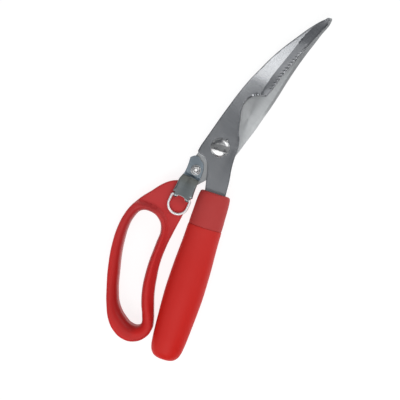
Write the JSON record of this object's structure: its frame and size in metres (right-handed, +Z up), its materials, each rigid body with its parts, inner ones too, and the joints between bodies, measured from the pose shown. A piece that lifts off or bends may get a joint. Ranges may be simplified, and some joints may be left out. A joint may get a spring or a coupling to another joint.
{
  "type": "poultry shears",
  "caption": "Poultry shears with curved notched blades on a screw pivot, a finger-loop handle, a straight sleeved grip, and a riveted latch with a pull ring.",
  "frame": {"origin": "centre of the closed shears' footprint, at the height of the lowest point of the straight grip as the shears lie flat", "axes": "+Y towards the blade tips along the shears' length, +X towards the straight grip's side, +Z up through the pivot screw's head"},
  "size_m": [0.0767, 0.2598, 0.0217],
  "materials": {
    "blade_steel": "ground and brushed stainless steel",
    "bright_steel": "bright turned steel",
    "chrome": "polished plate",
    "red_plastic": "moulded, slightly textured"
  },
  "bodies": {
    "rear_half": {"rear_blade": "blade_steel", "loop_handle": "red_plastic", "latch_rivet": "bright_steel"},
    "front_half": {"front_blade": "blade_steel", "pivot_screw": "bright_steel", "pivot_lock_pin": "bright_steel", "pivot_spring_washer": "bright_steel", "pivot_nut": "bright_steel", "grip_core": "red_plastic", "grip_sleeve": "red_plastic"},
    "latch": {"latch_lever": "blade_steel", "latch_washer": "bright_steel"},
    "pull_ring": {"latch_ring": "chrome"}
  },
  "joints": [
    {"name": "blade_pivot", "type": "hinge", "parent": "rear_half", "child": "front_half", "pos_m": [0.0023, 0.0188, 0.01084], "axis": [0, 0, 1], "range_deg": [0, 55]},
    {"name": "latch_swing", "type": "hinge", "parent": "rear_half", "child": "latch", "pos_m": [-0.0063, -0.00195, 0.01084], "axis": [0, 0, 1], "range_deg": [-22, 0]},
    {"name": "ring_swing", "type": "hinge", "parent": "latch", "child": "pull_ring", "pos_m": [-0.00735, -0.0227, 0.01514], "axis": [-1, 0, 0], "range_deg": [0, 90]}
  ]
}
